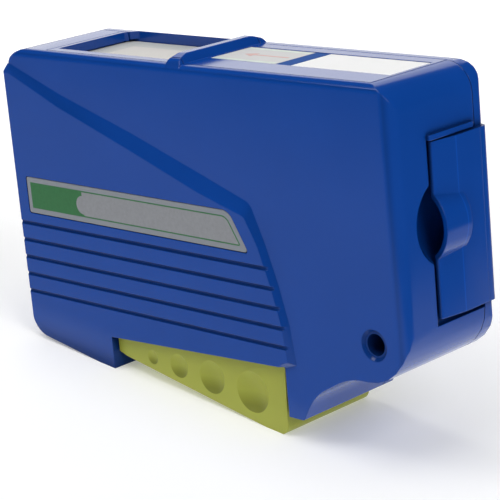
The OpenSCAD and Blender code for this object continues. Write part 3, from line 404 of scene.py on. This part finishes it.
def outline_face(bm, corners, radii=(0, 0, 0, 0)):
    """A flat face through the corners, each rounded by its own radius."""
    verts = [bm.verts.new(c) for c in corners]
    bm.faces.new(verts)
    for vert, radius in zip(verts, radii):
        if radius > 0:
            a, b = [e.other_vert(vert).co - vert.co for e in vert.link_edges]
            reach = radius / math.tan(a.angle(b) / 2)
            bmesh.ops.bevel(
                bm,
                geom=[vert],
                offset=reach,
                offset_type="OFFSET",
                affect="VERTICES",
                segments=8,
                profile=0.5,
                material=-1,
            )


def inset(bm, width):
    """Cuts a rim of the given width into flat faces, and gives the rim's faces."""
    rim = bmesh.ops.inset_region(
        bm, faces=list(bm.faces), thickness=width, use_even_offset=True, use_boundary=True
    )
    return rim["faces"]


def thicken(bm, step):
    """Gives flat faces a body by extruding them by step."""
    faces = list(bm.faces)
    made = bmesh.ops.extrude_face_region(bm, geom=faces)
    moved = [v for v in made["geom"] if isinstance(v, bmesh.types.BMVert)]
    bmesh.ops.translate(bm, verts=moved, vec=step)


# What a user may change


class CassetteSizes(PropertyGroup):
    """Sizes of the printed fields and of the studio."""

    print_margin: FloatProperty(
        name="Print margin",
        description="Distance from the front label's edge to its printed border, in mm",
        default=1.2,
        min=0.6,
        max=2,
    )
    print_line: FloatProperty(
        name="Border line",
        description="Width of the printed border line, in mm",
        default=0.28,
        min=0.15,
        max=0.6,
    )
    field_length: FloatProperty(
        name="Green field",
        description="Length of the green field on the front label, in mm",
        default=18.4,
        min=8,
        max=30,
    )
    film: FloatProperty(
        name="Ink film",
        description="Thickness of a printed field, in mm",
        default=0.02,
        min=0.01,
        max=0.05,
    )
    edge_ease: FloatProperty(
        name="Edge softness",
        description="Radius that the shading gives to the housing's sharp edges, in mm",
        default=0.28,
        min=0.05,
        max=0.8,
    )
    floor_span: FloatProperty(
        name="Floor",
        description="Width of the studio floor",
        default=6.0,
        min=2,
        unit="LENGTH",
    )
    stand_tilt: FloatProperty(
        name="Floor tilt",
        description="Angle of the surface that the foot and the lever stand on",
        default=math.radians(6.58),
        subtype="ANGLE",
    )


def colour(name, description, value):
    return FloatVectorProperty(
        name=name,
        description=description,
        default=(*value, 1),
        size=4,
        min=0,
        max=1,
        subtype="COLOR",
    )


class CassetteColours(PropertyGroup):
    """Base colours of the finishes."""

    housing: colour("Housing", "Blue of shell, cover, top plate and latch", (0.002, 0.053, 0.31))
    lever: colour("Lever", "Yellow-green of the lever", (0.36, 0.39, 0.042))
    shutter: colour("Shutter", "Grey of the shutter plate", (0.52, 0.53, 0.51))
    shutter_film: colour("Shutter film", "Film on the shutter", (0.62, 0.60, 0.57))
    natural: colour("Natural plastic", "Undyed plastic of wheel and reels", (0.72, 0.72, 0.68))
    grey: colour("Grey plastic", "Plastic of chassis and deck", (0.30, 0.31, 0.32))
    dark: colour("Dark plastic", "Plastic of ratchet and pawls", (0.035, 0.036, 0.04))
    steel: colour("Steel", "Pins, rollers, spring and screws", (0.56, 0.57, 0.58))
    tape: colour("Cleaning tape", "Woven wiping tape", (0.82, 0.82, 0.80))
    foam: colour("Foam", "Pad behind the tape", (0.09, 0.09, 0.10))
    label_grey: colour("Label grey", "Margin of the front label", (0.24, 0.26, 0.29))
    label_field: colour("Label field", "Field inside the label's border", (0.25, 0.26, 0.28))
    label_green: colour("Label green", "Printed green of the labels", (0.024, 0.16, 0.05))
    white_film: colour("White film", "White label", (0.86, 0.86, 0.86))
    arrow_ink: colour("Arrow ink", "Faded red of the direction arrow", (0.62, 0.36, 0.33))
    blue_film: colour("Blue film", "Blue label strip", (0.008, 0.075, 0.32))


def sizes(context):
    return context.scene.cassette_sizes


def colours(context):
    return context.scene.cassette_colours


# Finishes of the CAD nodes


class CASSETTE_OT_housing(Operator):
    """Glossy blue moulded plastic of the shell, cover, top plate and latch"""

    bl_idname = "cassette.housing"
    bl_label = "Housing"

    def execute(self, context):
        base = colours(context).housing[:]
        for name, nodes in (("housing", HOUSING_NODES), ("latch", ["latch_tongue"])):
            finish = Finish(name + "_plastic")
            eased = finish.soft_edges(sizes(context).edge_ease)
            edges = finish.edge_mask(eased)
            cloud = finish.noise(16, detail=3)
            scuffs = finish.noise(2.5, detail=6, rough=0.7, stretch=(1, 1, 0.3)).between(0.62, 0.72)
            # The slope beside the raised panel faces the front less than the panel does, and its colour is
            # painted darker as shade
            ahead = 0 - finish.facing("Y", eased)
            slope = ahead.between(0.7, 0.9) * (1 - ahead.between(0.93, 0.985))
            # Grooves and seams lose their shine and are painted darker as shade, and the recesses of the top
            # get less of both
            below_top = 1 - finish.axis("Z").between(*RECESS_FADE)
            crease_shade = finish.hollow_mask(6, 0.03, 0.7) * (0.2 + 0.8 * below_top)
            # Around the strap hole the colour is painted darker as shade in its bore, and the surface is
            # duller
            from_hole = finish.distance(finish.flat_place(), STRAP_HOLE)
            dish = 1 - from_hole.between(*DISH_FADE)
            tone = finish.mix(cloud, shade(base, 0.93), shade(base, 1.07))
            wear_and_highlights = finish.mix(edges * 0.16, tone, shade(base, 1.9))
            if name == "latch":
                # A lighter line along the latch's fold is a painted highlight
                from_fold = (finish.axis("Y") - LATCH_FOLD_Y).size()
                fold_highlight = 1 - from_fold.between(*FOLD_FADE)
                wear_and_highlights = finish.mix(fold_highlight * 0.5, wear_and_highlights, shade(base, 1.7))
            flow = finish.noise(34, detail=1) * 0.85 + finish.noise(0.5, detail=2) * 0.15
            relief = finish.bump(flow, 0.012, eased)
            finish.set(
                Base_Color=finish.mix(slope * 0.3 + crease_shade * 0.4, wear_and_highlights, shade(base, 0.25)),
                Roughness=0.12 + 0.04 * cloud + 0.04 * scuffs + 0.05 * edges,
                Normal=relief,
                IOR=1.5,
            )
            # Creases and the strap hole get a duller surface whose darker colour is painted shade
            finish.overlay(
                crease_shade.between(0.1, 0.75) + dish * 0.4,
                Base_Color=finish.mix(cloud, shade(base, 0.3), shade(base, 0.38)),
                Roughness=0.7 + 0.1 * cloud,
                Normal=relief,
                IOR=1.15,
            )
            for node in nodes:
                smooth_copy(node, finish)
        return {"FINISHED"}


class CASSETTE_OT_lever(Operator):
    """Satin yellow-green plastic of the squeeze lever"""

    bl_idname = "cassette.lever"
    bl_label = "Lever"

    def execute(self, context):
        base = colours(context).lever[:]
        finish = Finish("lever_plastic")
        eased = finish.soft_edges(0.25)
        edges = finish.edge_mask(eased)
        cloud = finish.noise(9, detail=3)
        tone = finish.mix(cloud, shade(base, 0.92), shade(base, 1.06))
        # Creases are painted darker as shade
        crease_shade = finish.hollow_mask(2.5, 0.05, 0.6)
        # Faces that look up, such as the lower walls of the dishes, are painted darker as shade
        upward_shade = finish.facing("Z").between(0.03, 0.4)
        grain = finish.noise(0.3, detail=3, rough=0.6)
        # Lighter edges are a painted highlight, a rim lit from below
        wear_and_highlights = finish.mix(edges * 0.2, tone, shade(base, 1.3))
        finish.set(
            Base_Color=finish.mix(crease_shade * 0.12 + upward_shade * 0.65, wear_and_highlights, shade(base, 0.35)),
            Roughness=0.38 + 0.08 * cloud + 0.06 * grain,
            Normal=finish.bump(grain, 0.015, eased),
            IOR=1.49,
            Subsurface_Weight=0.05,
            Subsurface_Scale=0.002,
        )
        smooth_copy("lever", finish)
        return {"FINISHED"}


class CASSETTE_OT_shutter(Operator):
    """Grey shutter plate and the film on it"""

    bl_idname = "cassette.shutter"
    bl_label = "Shutter"

    def execute(self, context):
        tint = colours(context)
        plate = Finish("shutter_plastic")
        eased = plate.soft_edges(0.15)
        drag = plate.noise(0.8, detail=5, rough=0.65, stretch=(0.06, 1, 1))
        plate.set(
            Base_Color=plate.mix(drag, shade(tint.shutter, 0.93), shade(tint.shutter, 1.05)),
            Roughness=0.42 + 0.12 * drag,
            Normal=plate.bump(drag, 0.01, eased),
        )
        dress(["shutter"], plate)
        film = Finish("shutter_film")
        fibre = film.noise(0.6, detail=5, rough=0.7)
        film.set(
            Base_Color=film.mix(
                fibre, shade(tint.shutter_film, 0.96), shade(tint.shutter_film, 1.03)
            ),
            Roughness=0.5 + 0.1 * fibre,
            Normal=film.bump(fibre, 0.006),
        )
        dress(["shutter_label"], film)
        return {"FINISHED"}


class CASSETTE_OT_drive(Operator):
    """Moulded drive train: wheel, reels, arc, ratchet, pawls, chassis and deck"""

    bl_idname = "cassette.drive"
    bl_label = "Drive train"

    def execute(self, context):
        tint = colours(context)
        for name, base, rough, nodes in (
            ("natural_plastic", tint.natural, 0.34, ("drive_wheel", "take_up_reel", "supply_reel")),
            ("grey_plastic", tint.grey, 0.42, ("chassis_plate", "tape_deck", "lever_arc")),
            ("dark_plastic", tint.dark, 0.36, ("ratchet_wheel", "drive_pawl", "holding_pawl")),
        ):
            finish = Finish(name)
            eased = finish.soft_edges(0.12)
            edges = finish.edge_mask(eased)
            cloud = finish.noise(6, detail=3)
            grain = finish.noise(0.25, detail=3)
            tone = finish.mix(cloud, shade(base, 0.92), shade(base, 1.06))
            finish.set(
                Base_Color=finish.mix(edges * 0.3, tone, shade(base, 1.4)),
                Roughness=rough + 0.08 * cloud + 0.05 * grain,
                Normal=finish.bump(grain, 0.012, eased),
            )
            dress(nodes, finish)
        return {"FINISHED"}


class CASSETTE_OT_hardware(Operator):
    """Turned and drawn steel of pins, rollers, spring and screws"""

    bl_idname = "cassette.hardware"
    bl_label = "Hardware"

    def execute(self, context):
        base = colours(context).steel[:]
        finish = Finish("steel")
        eased = finish.soft_edges(0.08)
        turning = finish.noise(0.12, detail=2, stretch=(0.2, 1, 0.2))
        stain = finish.noise(3, detail=4)
        finish.set(
            Base_Color=finish.mix(stain, shade(base, 0.85), shade(base, 1.1)),
            Metallic=1.0,
            Roughness=0.22 + 0.14 * stain + 0.08 * turning,
            Normal=finish.bump(turning, 0.006, eased),
        )
        rollers = ("guide_roller_left", "guide_roller_right", "roller_pins")
        dress(("lever_pin", "chassis_screws", *rollers), finish)
        low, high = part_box("lever_spring")
        middle = (low + high) / 2
        spring = smooth_copy("lever_spring", finish, "coil", COIL_CREASE, rides=False)
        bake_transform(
            spring,
            "case",
            "lever",
            start=(middle.x, middle.y, high.z),
            end=(middle.x, middle.y, low.z),
        )
        return {"FINISHED"}


class CASSETTE_OT_tape(Operator):
    """Woven wiping tape on its rolls and across the pad, with the pad and the felt brake"""

    bl_idname = "cassette.tape"
    bl_label = "Tape, pad and brake"

    def weave(self, finish):
        """0 to 1 over crossing threads."""
        turn = 2 * math.pi / THREAD_PITCH
        across = (finish.axis("Y") * turn).wave()
        along = ((finish.axis("X") + finish.axis("Z")) * turn).wave()
        return (across * along) * 0.5 + 0.5

    def execute(self, context):
        tint = colours(context)
        for name, nodes, soil in (
            ("woven_tape", ("cleaning_tape", "clean_tape_roll"), 0.0),
            ("used_tape", ("used_tape_roll",), 0.35),
        ):
            finish = Finish(name)
            threads = self.weave(finish)
            smudge = finish.noise(4, detail=5, rough=0.65).between(0.5, 0.75)
            tone = finish.mix(threads, shade(tint.tape, 0.88), tint.tape[:3])
            finish.set(
                Base_Color=finish.mix(smudge * (0.06 + soil), tone, TAPE_SOIL),
                Roughness=0.82 + 0.1 * threads,
                Normal=finish.bump(threads, 0.05),
                Sheen_Weight=0.25,
                Sheen_Roughness=0.5,
            )
            dress(nodes, finish)
        foam = Finish("pad_foam")
        cells = foam.specks(0.5)
        foam.set(
            Base_Color=foam.mix(cells, shade(tint.foam, 0.5), shade(tint.foam, 1.4)),
            Roughness=0.92 + 0.05 * cells,
            Normal=foam.bump(cells, 0.15),
        )
        dress(["wiping_pad"], foam)
        felt = Finish("brake_felt")
        hairs = felt.noise(0.3, detail=8, rough=0.8)
        felt.set(
            Base_Color=felt.mix(hairs, FELT_DARK, FELT_LIGHT),
            Roughness=0.95 + 0.05 * hairs,
            Normal=felt.bump(hairs, 0.12),
        )
        dress(["reel_brake"], felt)
        return {"FINISHED"}


class CASSETTE_OT_labels(Operator):
    """Film of the four labels"""

    bl_idname = "cassette.labels"
    bl_label = "Labels"

    def execute(self, context):
        tint = colours(context)
        for node, base, rough in (
            ("front_label", tint.label_grey, 0.34),
            ("arrow_label", shade(tint.white_film, 0.72), 0.55),
            ("white_label", tint.white_film, 0.5),
            ("blue_label", tint.blue_film, 0.7),
        ):
            finish = Finish(node + "_film")
            fibre = finish.noise(0.4, detail=5, rough=0.7)
            ripple = finish.noise(12, detail=2)
            finish.set(
                Base_Color=finish.mix(fibre, shade(base, 0.97), shade(base, 1.02)),
                Roughness=rough + 0.08 * fibre,
                Normal=finish.bump(ripple * 0.8 + fibre * 0.2, 0.02),
                IOR=1.25,
            )
            dress([node], finish)
        return {"FINISHED"}


# Printed fields


def ink(name, base, rough=0.35):
    """Printed ink, worn in patches."""
    finish = Finish(name)
    wear = finish.noise(0.9, detail=5, rough=0.7).between(0.35, 0.75)
    finish.set(
        Base_Color=finish.mix(wear, shade(base, 1.04), shade(base, 0.9)),
        Roughness=rough + 0.08 * wear,
        Normal=finish.bump(wear, 0.004),
    )
    return finish


class CASSETTE_OT_label_print(Operator):
    """Grey field, border line and green field on the front label, without lettering"""

    bl_idname = "cassette.label_print"
    bl_label = "Front label print"

    def execute(self, context):
        size = sizes(context)
        tint = colours(context)
        low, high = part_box("front_label")
        y = low.y
        margin = size.print_margin * MM
        line = size.print_line * MM
        film = size.film * MM
        left, right = low.x + margin, high.x - LABEL_END_MARGIN * margin
        bottom, top = low.z + margin, high.z - margin
        lean = LABEL_SLANT * (top - bottom) / (high.z - low.z)
        corners = [
            Vector((left, y, bottom)),
            Vector((right, y, bottom)),
            Vector((right - lean, y, top)),
            Vector((left, y, top)),
        ]

        border = bmesh.new()
        outline_face(border, corners, LABEL_CORNERS)
        ring = inset(border, line)
        inner = [f for f in border.faces if f not in ring]
        bmesh.ops.delete(border, geom=inner, context="FACES")
        thicken(border, Vector((0, -film, 0)))
        border_ink = ink("border_ink", tint.label_green)
        finished(border, "label_border", border_ink, "case")

        field = bmesh.new()
        outline_face(field, corners, LABEL_CORNERS)
        bmesh.ops.delete(field, geom=inset(field, line * 0.5), context="FACES")
        thicken(field, Vector((0, -film * 0.5, 0)))
        field_ink = ink("field_ink", tint.label_field, 0.38)
        finished(field, "label_field", field_ink, "case")

        green = bmesh.new()
        end = left + size.field_length * MM
        middle = bottom + NOTCH_HEIGHT * (top - bottom)
        start = green.verts.new((end, y, middle + NOTCH_RADIUS))
        sweep = bmesh.ops.spin(
            green,
            geom=[start],
            cent=(end, y, middle),
            axis=(0, 1, 0),
            angle=-math.pi,
            steps=NOTCH_STEPS,
            use_duplicate=False,
        )
        last = sweep["geom_last"][0]
        low_end = green.verts.new((end + NOTCH_FOOT, y, bottom))
        low_left = green.verts.new((left, y, bottom))
        high_left = green.verts.new((left, y, top))
        high_end = green.verts.new((end, y, top))
        chain = [last, low_end, low_left, high_left, high_end, start]
        for a, b in zip(chain, chain[1:]):
            green.edges.new((a, b))
        bmesh.ops.contextual_create(green, geom=list(green.edges))
        if not green.faces:
            raise RuntimeError("the green field of the front label has no face")
        thicken(green, Vector((0, -film * 1.5, 0)))
        green_ink = ink("green_ink", tint.label_green)
        finished(green, "label_green_field", green_ink, "case")
        return {"FINISHED"}


class CASSETTE_OT_arrow_print(Operator):
    """Two pale green bands and a plain direction arrow on the label beside the rib"""

    bl_idname = "cassette.arrow_print"
    bl_label = "Arrow label print"

    def execute(self, context):
        size = sizes(context)
        tint = colours(context)
        low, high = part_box("arrow_label")
        z = high.z
        film = size.film * MM
        pale = shade([0.5 + 0.5 * c for c in tint.label_green], 1.2)
        bands = bmesh.new()
        x0, x1 = low.x + BAND_INSET, high.x - BAND_INSET
        for y0, y1 in (
            (low.y + BAND_INSET, low.y + BAND_FAR_SIDE),
            (high.y - BAND_FAR_SIDE, high.y - BAND_INSET),
        ):
            corners = ((x0, y0), (x1, y0), (x1, y1), (x0, y1))
            outline_face(bands, [Vector((x, y, z)) for x, y in corners])
        thicken(bands, Vector((0, 0, film)))
        band_ink = ink("band_ink", pale, 0.4)
        finished(bands, "arrow_label_bands", band_ink, "case")

        arrow = bmesh.new()
        middle = 0.5 * (low.y + high.y)
        tip = low.x + ARROW_TIP * (high.x - low.x)
        tail = low.x + ARROW_TAIL * (high.x - low.x)
        neck = tip + ARROW_HEAD_LENGTH
        points = (
            (tip, middle),
            (neck, middle - ARROW_HEAD_HALF),
            (neck, middle - ARROW_SHAFT_HALF),
            (tail, middle - ARROW_SHAFT_HALF),
            (tail, middle + ARROW_SHAFT_HALF),
            (neck, middle + ARROW_SHAFT_HALF),
            (neck, middle + ARROW_HEAD_HALF),
        )
        arrow.faces.new([arrow.verts.new((x, y, z)) for x, y in points])
        thicken(arrow, Vector((0, 0, film)))
        arrow_ink = ink("arrow_ink", tint.arrow_ink, 0.4)
        finished(arrow, "direction_arrow", arrow_ink, "case")
        return {"FINISHED"}


# Studio


def floor_paper():
    """White paper that glows to the camera with distance and mirrors only near the case."""
    paper = Finish("floor_paper", "ShaderNodeBsdfDiffuse")
    paper.set(Color=(0.8, 0.8, 0.8))
    rays = paper.add("ShaderNodeLightPath").socket.node.outputs
    lift = Wire(paper.tree, rays["Is Camera Ray"])
    shine = Wire(paper.tree, rays["Is Glossy Ray"])
    clear = Wire(paper.tree, rays["Is Transmission Ray"])
    x, y = paper.axis("X"), paper.axis("Y")
    span = (x * x + y * y) ** 0.5
    # Glow that lets the shadows fade out into white
    bright = 0.27 + 0.53 * span.between(0.12, 0.6)
    seen = lift + clear
    bounce = (1 - seen) * 0.4
    values = {"Color": (1, 1, 1), "Strength": bright * seen + bounce}
    glow = paper.add("ShaderNodeEmission", None, values)
    both = paper.add("ShaderNodeAddShader", None, {0: paper.shader.outputs[0], 1: glow})
    dim = paper.add("ShaderNodeEmission", None, {"Color": (1, 1, 1), "Strength": 0.02})
    # Shares of the paper that reflections show: it ends in front and beside the case
    near_front = y.between(-0.26, -0.13)
    near_end = 1 - x.between(0.14, 0.2)
    behind = y.between(-0.03, 0.03)
    under = (1 - span.between(0.06, 0.11)) * y.between(-0.03, -0.01)
    mirrored = near_front * near_end * (0.32 + 0.14 * behind) + under * 0.7
    paper.blend_shaders(shine * (1 - mirrored), both, dim)
    return paper


def studio_world():
    """White to the camera, dark in reflections and a soft fill for the rest."""
    world = bpy.data.worlds.new("studio")
    world.use_nodes = True
    tree = world.node_tree
    tree.nodes.clear()
    rays = tree.nodes.new("ShaderNodeLightPath").outputs
    seen = Wire(tree, rays["Is Camera Ray"]) + Wire(tree, rays["Is Transmission Ray"])
    shine = Wire(tree, rays["Is Glossy Ray"])
    back = tree.nodes.new("ShaderNodeBackground")
    back.inputs["Color"].default_value = (1, 1, 1, 1)
    plug(tree, back.inputs["Strength"], seen + shine * 0.04 + (1 - seen - shine) * 0.2)
    out = tree.nodes.new("ShaderNodeOutputWorld")
    tree.links.new(back.outputs[0], out.inputs["Surface"])
    return world


class CASSETTE_OT_stage(Operator):
    """Pale floor, soft lamps, white surroundings and the camera"""

    bl_idname = "cassette.stage"
    bl_label = "Stage"

    def floor(self, scene, size):
        """The surface that the foot and the lever stand on."""
        bm = bmesh.new()
        bmesh.ops.create_grid(bm, x_segments=1, y_segments=1, size=size.floor_span / 2)
        mesh = bpy.data.meshes.new("floor")
        bm.to_mesh(mesh)
        bm.free()
        tilt = Matrix.Rotation(size.stand_tilt, 4, "Y")
        mesh.transform(Matrix.Translation(FLOOR_POINT) @ tilt)
        mesh.materials.append(floor_paper().material)
        floor = bpy.data.objects.new("floor", mesh)
        scene.collection.objects.link(floor)

    def lamp(self, scene, name, place, width, height, power):
        data = bpy.data.lights.new(name, "AREA")
        data.shape = "RECTANGLE"
        data.size = width
        data.size_y = height
        data.energy = power
        lamp = bpy.data.objects.new(name, data)
        scene.collection.objects.link(lamp)
        lamp.location = place
        aim = Vector(LAMP_TARGET) - Vector(place)
        lamp.rotation_euler = aim.to_track_quat("-Z", "Y").to_euler()

    def camera(self, scene):
        lens = bpy.data.cameras.new("camera")
        lens.sensor_width = SENSOR_WIDTH
        lens.lens = SENSOR_WIDTH * FOCAL_LENGTH / PICTURE_WIDTH
        lens.clip_start = 0.01
        lens.clip_end = 20
        camera = bpy.data.objects.new("camera", lens)
        scene.collection.objects.link(camera)
        turn = Matrix((CAMERA_RIGHT, -CAMERA_DOWN, -CAMERA_AHEAD)).transposed().to_4x4()
        camera.matrix_world = Matrix.Translation(CAMERA_PLACE) @ turn
        scene.camera = camera

    def execute(self, context):
        scene = context.scene
        scene.view_settings.view_transform = "Standard"
        self.floor(scene, sizes(context))
        scene.world = studio_world()
        for lamp in LAMPS:
            self.lamp(scene, *lamp)
        self.camera(scene)
        return {"FINISHED"}


class CASSETTE_PT_sidebar(Panel):
    """Shows the cassette's sizes, colours and steps in the sidebar"""

    bl_idname = "CASSETTE_PT_sidebar"
    bl_label = "Cassette"
    bl_space_type = "VIEW_3D"
    bl_region_type = "UI"
    bl_category = "Cassette"

    def draw(self, context):
        for group in (sizes(context), colours(context)):
            for name in group.__annotations__:
                self.layout.prop(group, name)
        for step in STEPS:
            self.layout.operator(step.bl_idname)


STEPS = (
    CASSETTE_OT_housing,
    CASSETTE_OT_lever,
    CASSETTE_OT_shutter,
    CASSETTE_OT_drive,
    CASSETTE_OT_hardware,
    CASSETTE_OT_tape,
    CASSETTE_OT_labels,
    CASSETTE_OT_label_print,
    CASSETTE_OT_arrow_print,
    CASSETTE_OT_stage,
)
CLASSES = (CassetteSizes, CassetteColours, *STEPS, CASSETTE_PT_sidebar)


def register():
    for cls in CLASSES:
        bpy.utils.register_class(cls)
    bpy.types.Scene.cassette_sizes = PointerProperty(type=CassetteSizes)
    bpy.types.Scene.cassette_colours = PointerProperty(type=CassetteColours)


def unregister():
    del bpy.types.Scene.cassette_colours
    del bpy.types.Scene.cassette_sizes
    for cls in reversed(CLASSES):
        bpy.utils.unregister_class(cls)


def main():
    register()
    for step in STEPS:
        group, name = step.bl_idname.split(".")
        getattr(getattr(bpy.ops, group), name)()


if __name__ == "__main__":
    main()
